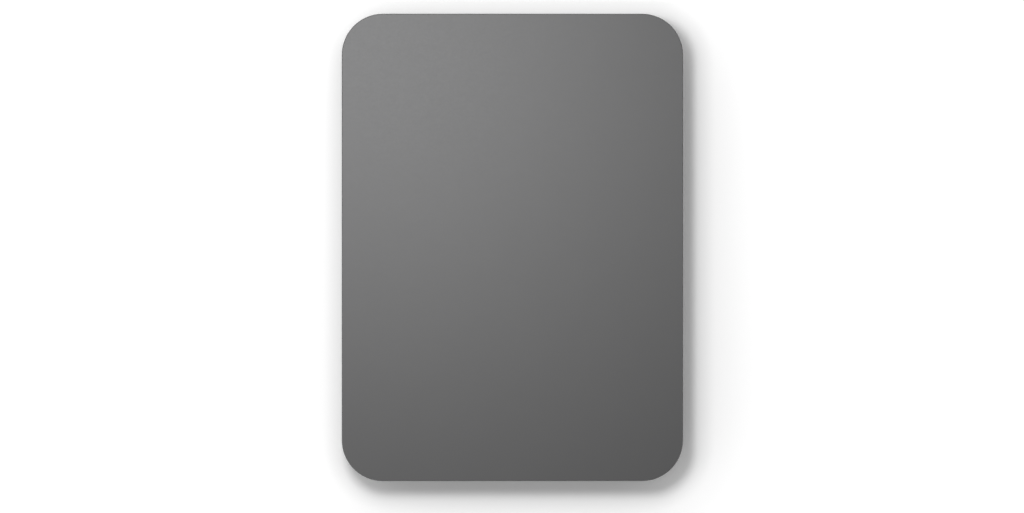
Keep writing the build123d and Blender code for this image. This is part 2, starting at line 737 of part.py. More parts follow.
def make_actuator_arm():
    root = ARM_ROOT_WIDTH / 2
    tip = ARM_TIP_WIDTH / 2
    blade = outline([(0, -root), (arm_length, -tip), (arm_length, tip), (0, root)])
    arm = disc(PIVOT_HUB_RADIUS, bearing_bottom, bearing_top)
    for face, side in head_faces:
        near = face + side * (surface_offset + SUSPENSION_THICKNESS)
        low, high = sorted((near, near + side * ARM_THICKNESS))
        arm += lifted(blade, low, high)
    arm -= lifted(arm_window(), bay_floor, lid_under)
    half = COIL_THICKNESS / 2
    finger = sector(PIVOT_HUB_RADIUS - LAP, coil_outer - FORK_SETBACK, fork_inner_angle, fork_outer_angle)
    finger = Rot(0, 0, 180) * lifted(finger, disk_middle - half, disk_middle + half)
    arm += finger
    arm += mirror(finger, Plane.XZ)
    arm -= disc(bearing_outer + BOND_FIT, 0, drive_height)
    return at_arm(arm)


def arm_window():
    # the opening that lightens each blade, with an even rim to the hub, the suspension and both sides
    corners = []
    for x in (PIVOT_HUB_RADIUS + ARM_WINDOW_RIM, arm_length - SUSPENSION_LAP - ARM_WINDOW_RIM):
        blade_width = ARM_ROOT_WIDTH + (ARM_TIP_WIDTH - ARM_ROOT_WIDTH) * x / arm_length
        corners.append((x, blade_width / 2 - ARM_WINDOW_RIM))
    return outline(corners + [(x, -y) for x, y in reversed(corners)])


def make_voice_coil():
    half = COIL_THICKNESS / 2
    window_angle = COIL_HALF_ANGLE - math.degrees(COIL_BAND / (coil_outer - COIL_BAND))
    coil = sector(coil_inner, coil_outer, -COIL_HALF_ANGLE, COIL_HALF_ANGLE)
    coil -= sector(coil_inner + COIL_BAND, coil_outer - COIL_BAND, -window_angle, window_angle)
    return at_arm(Rot(0, 0, 180) * lifted(coil, disk_middle - half, disk_middle + half))


def make_suspension(face, side):
    root = SUSPENSION_WIDTH / 2
    tip = SUSPENSION_TIP_WIDTH / 2
    tab = TAB_WIDTH / 2
    start = arm_length - SUSPENSION_LAP
    bend = arm_length + SUSPENSION_BEND
    end = arm_reach + TAB_LENGTH
    half_plan = [(start, root), (bend, root), (tab_inner, tip), (tab_inner, tab), (end, tab)]
    plan = outline(half_plan + [(x, -y) for x, y in reversed(half_plan)])
    near = face + side * surface_offset
    low, high = sorted((near, near + side * SUSPENSION_THICKNESS))
    return at_arm(lifted(plan, low, high))


def make_head_sliders():
    half_l = SLIDER_LENGTH / 2
    half_w = SLIDER_WIDTH / 2
    sliders = []
    for face, side in head_faces:
        near = face + side * FLY_GAP
        low, high = sorted((near, near + side * SLIDER_HEIGHT))
        slider = block(arm_reach - half_l, arm_reach + half_l, -half_w, half_w, low, high)
        sliders.append(at_arm(slider))
    return group(sliders)


# Voice coil motor, fixed pieces
def make_lower_yoke():
    yoke = lifted(fan(yoke_inner, yoke_outer, yoke_low, yoke_high), bay_floor, lower_yoke_top)
    half = LEG_THICKNESS / 2
    leg = block(leg_inner, leg_outer, -half, half, lower_yoke_top - LAP, upper_yoke_bottom)
    for angle in (leg_low, leg_high):
        yoke += Rot(0, 0, angle) * leg
    return at_pivot(yoke)


def make_upper_yoke():
    plan = fan(yoke_inner, yoke_outer, yoke_low, yoke_high)
    return at_pivot(lifted(plan, upper_yoke_bottom, upper_yoke_top))


def make_magnet(bottom):
    plan = fan(coil_inner + MAGNET_INSET, coil_outer - MAGNET_INSET, sweep_low, sweep_high)
    return at_pivot(lifted(plan, bottom, bottom + MAGNET_THICKNESS))


def make_stop(angle, side):
    # a rubber pad on the face of a yoke leg that looks at the coil
    face = -side * LEG_THICKNESS / 2
    y0 = min(face, face - side * STOP_THICKNESS)
    half = STOP_HEIGHT / 2
    pad = block(leg_inner, leg_outer, y0, y0 + STOP_THICKNESS, disk_middle - half, disk_middle + half)
    return at_pivot(Rot(0, 0, angle) * pad)


# Parking ramp and flex cable
def make_parking_ramp():
    lip = surface_offset - RAMP_TAB_PLAY
    ramp = lifted(sector(tab_outer, ramp_outer, ramp_start, ramp_end), bay_floor, disk_top + lip)
    tongue = sector(tab_inner + LAP, tab_outer + LAP, ramp_start, ramp_end)
    ramp += lifted(tongue, disk_bottom - lip, disk_top + lip)
    edge = disc(PLATTER_RADIUS + RAMP_EDGE_PLAY, disk_bottom - RAMP_DISK_PLAY, disk_top + RAMP_DISK_PLAY)
    return at_pivot(ramp) - at_spindle(edge)


flex_start_y = bay_near + BRACKET_GAP + BRACKET_WIDTH / 2
flex_end_y = pivot_y - math.sqrt((PIVOT_HUB_RADIUS + FLEX_END_GAP) ** 2 - FLEX_OFFSET**2)
flex_radius = flex_end_y - flex_start_y
flex_start_x = pivot_x - FLEX_OFFSET - flex_radius


def make_flex_bracket():
    near = flex_start_y - BRACKET_WIDTH / 2
    far = flex_start_y + BRACKET_WIDTH / 2
    left = flex_start_x - BRACKET_LENGTH
    return block(left, flex_start_x, near, far, bay_floor, bay_floor + BRACKET_HEIGHT)


def make_flex_cable():
    # a ribbon on edge, bent through a quarter turn from the bracket to the head stack
    half = FLEX_THICKNESS / 2
    end_angle = -math.degrees(FLEX_THICKNESS / flex_radius)
    ribbon = sector(flex_radius - half, flex_radius + half, -90, end_angle)
    ribbon = lifted(ribbon, disk_middle - FLEX_WIDTH / 2, disk_middle + FLEX_WIDTH / 2)
    return Pos(flex_start_x, flex_start_y + flex_radius, 0) * ribbon


# Drive board
def make_drive_board():
    half = drive_width / 2 - DRIVE_BOARD_SIDE
    near = drive_near + DRIVE_BOARD_END
    return block(-half, half, near, near + DRIVE_BOARD_LENGTH, DRIVE_BOARD_INSET, drive_board_top)


def make_drive_chips():
    far = drive_near + DRIVE_BOARD_END + DRIVE_BOARD_LENGTH - CHIP_SETBACK
    low = drive_board_top
    high = drive_board_top + CHIP_HEIGHT
    places = [
        (-CHIP_PITCH, CONTROLLER_CHIP_SIZE, CONTROLLER_CHIP_SIZE),
        (0, MOTOR_CHIP_SIZE, MOTOR_CHIP_SIZE),
        (CHIP_PITCH, MEMORY_CHIP_WIDTH, MEMORY_CHIP_LENGTH),
    ]
    return group(block(x - w / 2, x + w / 2, far - length, far, low, high) for x, w, length in places)


def make_sata_plug():
    half = plug_half_width
    plug = block(-half, half, drive_near, drive_near + plug_depth, drive_board_top, plug_top)
    back = drive_near + mouth_depth
    low = tongue_middle - mouth_half_height
    high = tongue_middle + mouth_half_height
    plug -= block(-mouth_half_width, mouth_half_width, drive_near - PAST, back, low, high)
    for blade in tongue_blades(back - TONGUE_LENGTH, back + LAP, 0, tongue_middle):
        plug += blade
    return plug


pieces = {
    "top_cover": make_top_cover(),
    "bottom_cover": make_bottom_cover(),
    "inner_frame": make_inner_frame(),
    "bridge_board": make_bridge_board(),
    "bridge_chip": make_bridge_chip(),
    "sata_socket": make_sata_socket(),
    "usb_shell": make_usb_shell(),
    "usb_tongue": make_usb_tongue(),
    "status_led": make_status_led(),
    "light_pipe": make_light_pipe(),
}
for end_name, y_side in (("front", -1), ("rear", 1)):
    for side_name, x_side in (("left", -1), ("right", 1)):
        pieces[f"foot_{end_name}_{side_name}"] = make_foot(x_side, y_side)
        pieces[f"bumper_{end_name}_{side_name}"] = make_bumper(x_side, y_side)

drive_pieces = {
    "drive_base": make_drive_base(),
    "drive_lid": make_drive_lid(),
    "air_filter": make_air_filter(),
    "bearing_sleeve": make_bearing_sleeve(),
    "stator_core": make_stator_core(),
    "stator_windings": make_stator_windings(),
    "spindle_hub": make_spindle_hub(),
    "rotor_magnet": make_rotor_magnet(),
    "platter": make_platter(),
    "disk_clamp": make_disk_clamp(),
    "pivot_shaft": make_pivot_shaft(),
    "pivot_bearing": make_pivot_bearing(),
    "actuator_arm": make_actuator_arm(),
    "voice_coil": make_voice_coil(),
    "lower_suspension": make_suspension(*head_faces[0]),
    "upper_suspension": make_suspension(*head_faces[1]),
    "head_sliders": make_head_sliders(),
    "lower_yoke": make_lower_yoke(),
    "upper_yoke": make_upper_yoke(),
    "lower_magnet": make_magnet(lower_yoke_top),
    "upper_magnet": make_magnet(upper_yoke_bottom - MAGNET_THICKNESS),
    "outer_stop": make_stop(leg_high, 1),
    "inner_stop": make_stop(leg_low, -1),
    "parking_ramp": make_parking_ramp(),
    "flex_bracket": make_flex_bracket(),
    "flex_cable": make_flex_cable(),
    "drive_board": make_drive_board(),
    "drive_chips": make_drive_chips(),
    "sata_plug": make_sata_plug(),
}
for name, shape in drive_pieces.items():
    pieces[name] = in_drive(shape)

os.makedirs("parts", exist_ok=True)
for name, shape in pieces.items():
    export_step(shape, f"parts/{name}.step")
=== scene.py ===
import json
import math

import bmesh
import bpy
from mathutils import Matrix, Vector


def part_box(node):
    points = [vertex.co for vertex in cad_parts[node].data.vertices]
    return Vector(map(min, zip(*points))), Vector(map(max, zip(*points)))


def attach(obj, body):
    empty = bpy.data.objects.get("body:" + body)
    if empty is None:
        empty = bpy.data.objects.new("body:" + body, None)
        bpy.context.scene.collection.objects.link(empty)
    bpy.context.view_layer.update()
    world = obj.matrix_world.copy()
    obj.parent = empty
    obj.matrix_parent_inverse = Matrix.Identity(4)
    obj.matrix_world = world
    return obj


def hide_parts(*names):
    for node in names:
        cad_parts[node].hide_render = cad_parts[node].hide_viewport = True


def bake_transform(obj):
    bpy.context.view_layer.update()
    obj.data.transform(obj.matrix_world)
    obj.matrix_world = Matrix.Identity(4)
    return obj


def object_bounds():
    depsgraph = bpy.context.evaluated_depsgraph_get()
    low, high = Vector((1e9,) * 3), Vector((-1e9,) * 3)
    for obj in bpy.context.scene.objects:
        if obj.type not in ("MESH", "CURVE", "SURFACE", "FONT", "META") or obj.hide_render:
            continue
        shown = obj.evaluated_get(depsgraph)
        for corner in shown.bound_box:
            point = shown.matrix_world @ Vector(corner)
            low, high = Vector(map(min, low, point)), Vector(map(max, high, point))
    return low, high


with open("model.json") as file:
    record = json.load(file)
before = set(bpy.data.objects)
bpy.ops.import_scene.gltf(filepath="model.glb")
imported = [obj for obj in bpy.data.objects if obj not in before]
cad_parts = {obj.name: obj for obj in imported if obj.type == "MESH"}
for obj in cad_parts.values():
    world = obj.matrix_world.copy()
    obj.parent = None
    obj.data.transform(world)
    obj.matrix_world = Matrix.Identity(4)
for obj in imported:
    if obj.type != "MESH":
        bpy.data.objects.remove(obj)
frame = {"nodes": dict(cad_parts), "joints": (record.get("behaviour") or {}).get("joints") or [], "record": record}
cad_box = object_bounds()
nodes = frame["nodes"]
joint_at = {joint["name"]: Vector(joint["pos_m"]) for joint in frame["joints"]}
spindle = joint_at["spindle_spin"]
pivot = joint_at["actuator_swing"]

# One millimetre, in the scene's metres
MM = 0.001

# Light: a soft room, one soft lamp at the upper left, and a floor that glows white away from the object, with
# painted shade next to it
SKY_WALLS = 1.0
SKY_CEILING = 0.15
SKY_CEILING_START = 0.55
SKY_CEILING_END = 0.9
SKY_SLOPE = (-0.4, 0.45, 0)
LAMP_PLACE = (-0.061, 0.078, 0.433)
LAMP_AIM = (0, 0, 0)
LAMP_SIZE = 0.09
LAMP_POWER = 0.637
FLOOR_HALF = 4.0
FLOOR_COLOUR = (0.95, 0.95, 0.95, 1)
# the floor's glow is least at the object's outline and grows away from it: painted shade around the object,
# reaching farther on the lower right where the shadow falls
FLOOR_LIFT_NEAR = 0.05
FLOOR_LIFT_FAR = 0.27
FLOOR_NEAR = 1 * MM
FLOOR_FAR = 7 * MM
FLOOR_SHIFT = (1.7 * MM, -1.7 * MM)
FLOOR_CORNER = 10.5 * MM

# Picture, in its own points: its width, the top face's length, and the face's place from the middle
PICTURE_WIDTH = 1024
FACE_LENGTH = 467.4
FACE_RIGHT = 0.4
FACE_UP = 9.1

# Camera, in millimetres as its settings are
CAMERA_LENS = 200.0
CAMERA_SENSOR = 36.0

# Most values of a noise texture lie in this range
NOISE_LOW = 0.3
NOISE_HIGH = 0.7


# Node helpers

class Surface:
    """A node material around one Principled shader, in the object's own coordinates."""

    def __init__(self, name, metallic=0.0, **sockets):
        self.material = bpy.data.materials.new(name)
        self.material.use_nodes = True
        self.nodes = self.material.node_tree.nodes
        self.links = self.material.node_tree.links
        self.shader = self.nodes["Principled BSDF"]
        self.shader.inputs["Metallic"].default_value = metallic
        for socket, value in sockets.items():
            self.shader.inputs[socket.replace("_", " ")].default_value = value
        self.position = self.nodes.new("ShaderNodeTexCoord").outputs["Object"]

    def add(self, kind, **settings):
        node = self.nodes.new(kind)
        for key, value in settings.items():
            setattr(node, key, value)
        return node

    def placed(self, offset=(0, 0, 0), scale=(1, 1, 1)):
        # the coordinates about another origin, or drawn out along the axes
        node = self.add("ShaderNodeMapping", vector_type="TEXTURE")
        node.inputs["Location"].default_value = offset
        node.inputs["Scale"].default_value = scale
        self.links.new(self.position, node.inputs["Vector"])
        return node.outputs["Vector"]

    def noise(self, size, detail=2.0, rough=0.5, vector=None):
        node = self.add("ShaderNodeTexNoise")
        node.inputs["Scale"].default_value = 1 / size
        node.inputs["Detail"].default_value = detail
        node.inputs["Roughness"].default_value = rough
        self.links.new(vector or self.position, node.inputs["Vector"])
        return node.outputs["Fac"]

    def patches(self, size):
        # a level of its own for each square patch
        node = self.add("ShaderNodeTexVoronoi", distance="CHEBYCHEV")
        node.inputs["Scale"].default_value = 1 / size
        self.links.new(self.position, node.inputs["Vector"])
        return node.outputs["Color"]

    def waves(self, pitch, vector=None, rings=False, axis="X", distortion=0.0):
        # the texture's phase is 20 times the scaled place, so this scale gives the pitch in metres
        node = self.add("ShaderNodeTexWave", wave_type="RINGS" if rings else "BANDS")
        if rings:
            node.rings_direction = "Z"
        else:
            node.bands_direction = axis
        node.inputs["Scale"].default_value = math.tau / 20 / pitch
        node.inputs["Distortion"].default_value = distortion
        self.links.new(vector or self.position, node.inputs["Vector"])
        return node.outputs["Fac"]

    def span(self, value, low, high, source_low=NOISE_LOW, source_high=NOISE_HIGH):
        node = self.add("ShaderNodeMapRange")
        node.inputs["From Min"].default_value = source_low
        node.inputs["From Max"].default_value = source_high
        node.inputs["To Min"].default_value = low
        node.inputs["To Max"].default_value = high
        self.links.new(value, node.inputs["Value"])
        return node.outputs["Result"]

    def colours(self, value, low, low_colour, high, high_colour):
        # one colour up to the low level, another from the high level, and a blend between them
        node = self.add("ShaderNodeValToRGB")
        first, last = node.color_ramp.elements
        first.position = low
        first.color = (*low_colour, 1)
        last.position = high
        last.color = (*high_colour, 1)
        self.links.new(value, node.inputs["Fac"])
        self.links.new(node.outputs["Color"], self.shader.inputs["Base Color"])

    def tinted(self, value, colour, spread):
        dark = tuple(c * (1 - spread) for c in colour)
        light = tuple(c * (1 + spread) for c in colour)
        self.colours(value, NOISE_LOW, dark, NOISE_HIGH, light)

    def rough(self, value, low, high):
        self.links.new(self.span(value, low, high), self.shader.inputs["Roughness"])

    def bump(self, value, height):
        node = self.add("ShaderNodeBump")
        node.inputs["Distance"].default_value = height
        self.links.new(value, node.inputs["Height"])
        self.links.new(node.outputs["Normal"], self.shader.inputs["Normal"])

    def math(self, operation, *values):
        node = self.add("ShaderNodeMath", operation=operation)
        for socket, value in zip(node.inputs, values):
            if isinstance(value, (int, float)):
                socket.default_value = value
            else:
                self.links.new(value, socket)
        return node.outputs["Value"]

    def white_floor_and_painted_shade(self):
        # how much the floor is lifted to white where it is looked at: least at the object's rounded outline and
        # rising away from it, later on the side where the shadow falls, so that painted shade rings the object
        split = self.add("ShaderNodeSeparateXYZ")
        self.links.new(self.position, split.inputs["Vector"])
        squares = []
        for axis, shift, half in zip("XY", FLOOR_SHIFT, cad_box[1]):
            away = self.math("ABSOLUTE", self.math("SUBTRACT", split.outputs[axis], shift))
            past = self.math("MAXIMUM", self.math("SUBTRACT", away, half - FLOOR_CORNER), 0)
            squares.append(self.math("MULTIPLY", past, past))
        reach = self.math("SQRT", self.math("ADD", *squares))
        beyond = self.math("SUBTRACT", reach, FLOOR_CORNER)
        lift = self.span(beyond, FLOOR_LIFT_NEAR, FLOOR_LIFT_FAR, FLOOR_NEAR, FLOOR_FAR)
        path = self.add("ShaderNodeLightPath")
        seen = self.math("MAXIMUM", path.outputs["Is Camera Ray"], path.outputs["Is Glossy Ray"])
        seen = self.math("MAXIMUM", seen, path.outputs["Is Transmission Ray"])
        return self.math("MULTIPLY", seen, lift)


# Materials

def blasted_metal():
    # bead-blasted and anodised: even satin grey with a fine pebbled skin
    look = Surface("cover_metal", metallic=1.0)
    look.tinted(look.noise(9 * MM, detail=3), (0.128, 0.128, 0.129), 0.006)
    look.rough(look.noise(0.5 * MM, detail=3), 0.468, 0.484)
    look.bump(look.noise(0.16 * MM, detail=1), 0.005 * MM)
    return look.material


def moulded(name, colour, rough, grain=0.35 * MM, height=0.008 * MM):
    # spark-textured plastic or rubber
    look = Surface(name)
    look.tinted(look.noise(4 * MM, detail=3), colour, 0.08)
    look.rough(look.noise(2 * grain), *rough)
    look.bump(look.noise(grain), height)
    return look.material


def drawn_metal(name, colour, rough, along="X", tint=0.05):
    # rolled or drawn sheet: long fine lines along one direction
    look = Surface(name, metallic=1.0)
    drawn_out = 12
    drawn_in = 0.6
    stretch = [drawn_out if axis == along else drawn_in for axis in "XYZ"]
    lines = look.noise(0.3 * MM, detail=3, vector=look.placed(scale=stretch))
    look.tinted(look.noise(3 * MM, detail=3), colour, tint)
    look.rough(lines, *rough)
    look.bump(lines, 0.003 * MM)
    return look.material


def turned_metal(name, colour, rough, pitch=0.12 * MM, tint=0.02):
    # lathe-turned or lapped face: fine rings about the spindle
    look = Surface(name, metallic=1.0)
    rings = look.waves(pitch, vector=look.placed(offset=spindle), rings=True, distortion=0.4)
    look.tinted(look.noise(5 * MM), colour, tint)
    look.rough(rings, *rough)
    look.bump(rings, 0.002 * MM)
    return look.material


def cast_metal():
    # die-cast and left as it came from the mould
    look = Surface("casting", metallic=1.0)
    look.tinted(look.noise(1.2 * MM, detail=4), (0.36, 0.365, 0.375), 0.06)
    look.rough(look.noise(0.8 * MM, detail=3), 0.46, 0.58)
    look.bump(look.noise(0.4 * MM, detail=3), 0.012 * MM)
    return look.material


def circuit_board():
    # green solder mask over copper: bundles of runs that turn from patch to patch, and some full patches
    look = Surface("board", Specular_IOR_Level=0.55)
    pitch = 0.9 * MM
    turned_from = 0.5
    full_from = 0.78
    gap_level = 0.6
    copper_level = 0.75
    patch = look.patches(4 * MM)
    across = look.waves(pitch, axis="X")
    along = look.waves(pitch, axis="Y")
    is_turned = look.math("GREATER_THAN", patch, turned_from)
    change = look.math("MULTIPLY", is_turned, look.math("SUBTRACT", along, across))
    is_full = look.math("GREATER_THAN", patch, full_from)
    copper = look.math("MAXIMUM", look.math("ADD", across, change), is_full)
    look.colours(copper, gap_level, (0.006, 0.045, 0.022), copper_level, (0.012, 0.085, 0.04))
    look.rough(look.noise(1.2 * MM), 0.28, 0.4)
    look.bump(look.span(copper, 0, 1, gap_level, copper_level), 0.03 * MM)
    return look.material


def printed_film():
    # amber film over copper runs that follow the strip
    look = Surface("polyimide", Specular_IOR_Level=0.6)
    runs = look.waves(0.28 * MM, axis="Z")
    look.colours(runs, 0.4, (0.3, 0.1, 0.015), 0.6, (0.5, 0.22, 0.05))
    look.rough(look.noise(1.5 * MM), 0.16, 0.28)
    look.bump(runs, 0.01 * MM)
    return look.material


def wound_wire(name, centre, pitch, rings):
    # enamelled copper wire laid in turns
    look = Surface(name, metallic=1.0, Coat_Weight=0.5, Coat_Roughness=0.15)
    around = look.placed(offset=centre)
    turns = look.waves(pitch, vector=around, rings=rings, axis="DIAGONAL", distortion=0.2)
    look.colours(turns, 0.1, (0.16, 0.05, 0.02), 0.7, (0.62, 0.25, 0.11))
    look.rough(look.noise(0.6 * MM), 0.22, 0.38)
    look.bump(turns, 0.05 * MM)
    return look.material


def felt():
    # loose white fibres
    look = Surface("filter_cloth", Sheen_Weight=0.4, Sheen_Roughness=0.6)
    fibres = look.noise(0.18 * MM, detail=5, rough=0.7)
    look.tinted(fibres, (0.78, 0.78, 0.75), 0.1)
    look.rough(fibres, 0.8, 0.95)
    look.bump(fibres, 0.06 * MM)
    return look.material


def frosted_plastic():
    # the light guide, clear with a matt skin
    depth = 0.5 * MM
    look = Surface("light_guide", Transmission_Weight=0.35, IOR=1.57, Subsurface_Weight=0.3)
    look.shader.inputs["Subsurface Radius"].default_value = (depth, depth, depth)
    look.tinted(look.noise(0.8 * MM), (0.76, 0.79, 0.81), 0.02)
    look.rough(look.noise(0.3 * MM), 0.3, 0.45)
    look.bump(look.noise(0.25 * MM), 0.004 * MM)
    return look.material


coil_centre = sum(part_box("voice_coil"), Vector()) / 2
looks = {
    "cover_metal": blasted_metal(),
    "frame_plastic": moulded("frame_plastic", (0.014, 0.014, 0.015), (0.5, 0.65)),
    "foot_rubber": moulded(
        "foot_rubber", (0.017, 0.017, 0.018), (0.7, 0.88), grain=0.5 * MM, height=0.015 * MM
    ),
    "mount_rubber": moulded(
        "mount_rubber", (0.022, 0.022, 0.024), (0.66, 0.84), grain=0.6 * MM, height=0.015 * MM
    ),
    "board": circuit_board(),
    "chip": moulded("chip", (0.012, 0.012, 0.013), (0.42, 0.55), grain=0.15 * MM, height=0.004 * MM),
    "connector_plastic": moulded("connector_plastic", (0.013, 0.013, 0.014), (0.38, 0.52)),
    "port_steel": drawn_metal("port_steel", (0.56, 0.56, 0.57), (0.24, 0.36), along="Y"),
    "lamp_body": moulded("lamp_body", (0.72, 0.7, 0.6), (0.25, 0.35), height=0.002 * MM),
    "light_guide": frosted_plastic(),
    "casting": cast_metal(),
    "lid_steel": drawn_metal("lid_steel", (0.5, 0.5, 0.51), (0.3, 0.44), along="Y", tint=0.02),
    "filter_cloth": felt(),
    "bronze": turned_metal("bronze", (0.52, 0.33, 0.13), (0.26, 0.38)),
    "lamination": drawn_metal("lamination", (0.22, 0.22, 0.23), (0.4, 0.55)),
    "copper": wound_wire("copper", coil_centre, 0.14 * MM, rings=True),
    "turned_aluminium": turned_metal("turned_aluminium", (0.66, 0.66, 0.67), (0.24, 0.36)),
    "magnet": drawn_metal("magnet", (0.38, 0.38, 0.39), (0.3, 0.42), tint=0.08),
    "disk_surface": turned_metal(
        "disk_surface", (0.62, 0.62, 0.64), (0.03, 0.07), pitch=0.05 * MM, tint=0.004
    ),
    "spring_steel": drawn_metal("spring_steel", (0.55, 0.55, 0.56), (0.22, 0.34)),
    "slider_ceramic": moulded("slider_ceramic", (0.03, 0.03, 0.032), (0.12, 0.2), height=0.001 * MM),
    "nickel": drawn_metal("nickel", (0.52, 0.51, 0.48), (0.22, 0.34), tint=0.07),
    "ramp_plastic": moulded("ramp_plastic", (0.76, 0.74, 0.66), (0.28, 0.4), height=0.003 * MM),
    "polyimide": printed_film(),
}
windings = wound_wire("windings", spindle, 0.12 * MM, rings=False)

for part in frame["record"]["subparts"]:
    look = windings if part["node"] == "stator_windings" else looks[part["material_slot"]]
    mesh = nodes[part["node"]].data
    mesh.materials.clear()
    mesh.materials.append(look)


# Mesh helpers

def piece(name, build, slot, body="enclosure"):
    work = bmesh.new()
    build(work)
    bmesh.ops.recalc_face_normals(work, faces=work.faces)
    mesh = bpy.data.meshes.new(name)
    work.to_mesh(mesh)
    work.free()
    mesh.materials.append(looks[slot])
    made = bpy.data.objects.new(name, mesh)
    bpy.context.scene.collection.objects.link(made)
    if body:
        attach(made, body)
    return made


def add_block(work, low, high, bevel=0.0):
    low = Vector(low)
    high = Vector(high)
    size = Matrix.Diagonal((*(high - low), 1))
    made = bmesh.ops.create_cube(work, size=1, matrix=Matrix.Translation((low + high) / 2) @ size)
    if bevel:
        edges = {edge for vert in made["verts"] for edge in vert.link_edges}
        bmesh.ops.bevel(work, geom=list(edges), offset=bevel, segments=2, affect="EDGES", profile=0.5)


def add_rings(work, rings):
    # a closed skin through rings of equal length, with the first and the last one capped
    loops = [[work.verts.new(point) for point in ring] for ring in rings]
    for low, high in zip(loops, loops[1:]):
        for i, first in enumerate(low):
            after = (i + 1) % len(low)
            work.faces.new((first, low[after], high[after], high[i]))
    work.faces.new(loops[0])
    work.faces.new(loops[-1])


def add_screw(work, x, y, z, radius, height, up=1):
    # a pan head with a six-lobed recess, sunk by a hair into what it clamps
    points = 24
    lobes = 6
    lobe_depth = 0.15
    sunk = 0.02 * MM

    def ring(share, level, depth=0.0):
        # a share of the radius, at a share of the height
        turns = [math.tau * i / points for i in range(points)]
        reaches = [radius * share * (1 + depth * math.cos(lobes * turn)) for turn in turns]
        level_z = z + up * (level * height - sunk)
        return [(x + r * math.cos(t), y + r * math.sin(t), level_z) for r, t in zip(reaches, turns)]

    head = [ring(1, 0), ring(1, 0.5), ring(0.92, 0.84), ring(0.74, 1)]
    recess = [ring(0.5, 1, lobe_depth), ring(0.47, 0.3, lobe_depth)]
    add_rings(work, head + recess)


# Small pieces that stay out of the solids, and the curved strip

def flex_strip(work):
    # the strip from its bracket to the arm's hub, curved in short spans so that the curve is even
    low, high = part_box("flex_cable")
    thick = 0.12 * MM
    spans = 40
    radius = high.x - low.x - thick / 2
    centre_y = low.y + thick / 2 + radius
    first = -math.pi / 2
    last = -thick / radius
    inner = radius - thick / 2
    outer = radius + thick / 2
    section = [(inner, low.z), (outer, low.z), (outer, high.z), (inner, high.z)]
    rings = []
    for i in range(spans + 1):
        turn = first + (last - first) * i / spans
        across = math.cos(turn)
        along = math.sin(turn)
        rings.append([(low.x + r * across, centre_y + r * along, z) for r, z in section])
    add_rings(work, rings)


def bend_with_arm(strip):
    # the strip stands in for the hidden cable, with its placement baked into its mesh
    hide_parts("flex_cable")
    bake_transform(strip)


def usb_contacts(work):
    # twelve pads on each face of the tongue, with longer ones for power and ground
    low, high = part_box("usb_tongue")
    pads = 12
    power_pads = (0, 3, 8, 11)
    power_reach = 0.25 * MM
    pitch = 0.5 * MM
    half_width = 0.13 * MM
    front = low.y + 0.5 * MM
    back = front + 2.6 * MM
    middle_z = (low.z + high.z) / 2
    half_thick = 0.35 * MM
    proud = 0.02 * MM
    sunk = 0.03 * MM
    for side in (-1, 1):
        face_z = middle_z + side * half_thick
        bottom, top = sorted((face_z - side * sunk, face_z + side * proud))
        for i in range(pads):
            x = (i - (pads - 1) / 2) * pitch
            start = front - power_reach if i in power_pads else front
            add_block(work, (x - half_width, start, bottom), (x + half_width, back, top))


def plug_columns():
    # middles of the signal and power contacts of the drive's plug
    pitch = 1.27 * MM
    signal_contacts = 7
    power_contacts = 15
    signal_x = -11.5 * MM
    power_x = 6.4 * MM
    for middle, count in ((signal_x, signal_contacts), (power_x, power_contacts)):
        for i in range(count):
            yield middle + (i - (count - 1) / 2) * pitch


def plug_contacts(work):
    # gold fingers under the blades, and their tails on the board behind the plug
    low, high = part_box("sata_plug")
    half_width = 0.4 * MM
    bevel = 0.02 * MM
    blade_under = low.z + 1.8 * MM
    finger_y = (low.y + 1.2 * MM, low.y + 4.5 * MM)
    finger_z = (blade_under - 0.03 * MM, blade_under + 0.05 * MM)
    tail_y = (high.y - 0.1 * MM, high.y + 1.2 * MM)
    tail_z = (low.z - 0.02 * MM, low.z + 0.15 * MM)
    for x in plug_columns():
        for y, z in ((finger_y, finger_z), (tail_y, tail_z)):
            add_block(work, (x - half_width, y[0], z[0]), (x + half_width, y[1], z[1]), bevel)


def lid_screws(work):
    # six around the rim, clear of the corner mounts, and a larger one on the pivot
    low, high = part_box("drive_lid")
    radius = 1.5 * MM
    height = 0.5 * MM
    pivot_radius = 2.2 * MM
    pivot_height = 0.55 * MM
    corner_inset = 5.5 * MM
    side_inset = 3.2 * MM
    side_shift = -12 * MM
    side_y = (low.y + high.y) / 2 + side_shift
    for x in (low.x + corner_inset, high.x - corner_inset):
        for y in (low.y + corner_inset, high.y - corner_inset):
            add_screw(work, x, y, high.z, radius, height)
    for x in (low.x + side_inset, high.x - side_inset):
        add_screw(work, x, side_y, high.z, radius, height)
    add_screw(work, pivot.x, pivot.y, high.z, pivot_radius, pivot_height)


def board_screws(work):
    # one near each corner of the drive board, and one at the middle of its far end
    low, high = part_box("drive_board")
    radius = 1.4 * MM
    height = 0.36 * MM
    inset = 5.4 * MM
    far_y = high.y - 3 * MM
    places = [(x, y) for x in (low.x + inset, high.x - inset) for y in (low.y + inset, far_y)]
    places.append(((low.x + high.x) / 2, far_y))
    for x, y in places:
        add_screw(work, x, y, low.z, radius, height, up=-1)


def clamp_screws(work):
    # a ring of screws on the disk clamp
    clamp_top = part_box("disk_clamp")[1].z
    screws = 6
    circle = 6 * MM
    radius = 1.1 * MM
    height = 0.4 * MM
    for i in range(screws):
        turn = math.tau * i / screws
        x = spindle.x + circle * math.cos(turn)
        y = spindle.y + circle * math.sin(turn)
        add_screw(work, x, y, clamp_top, radius, height)


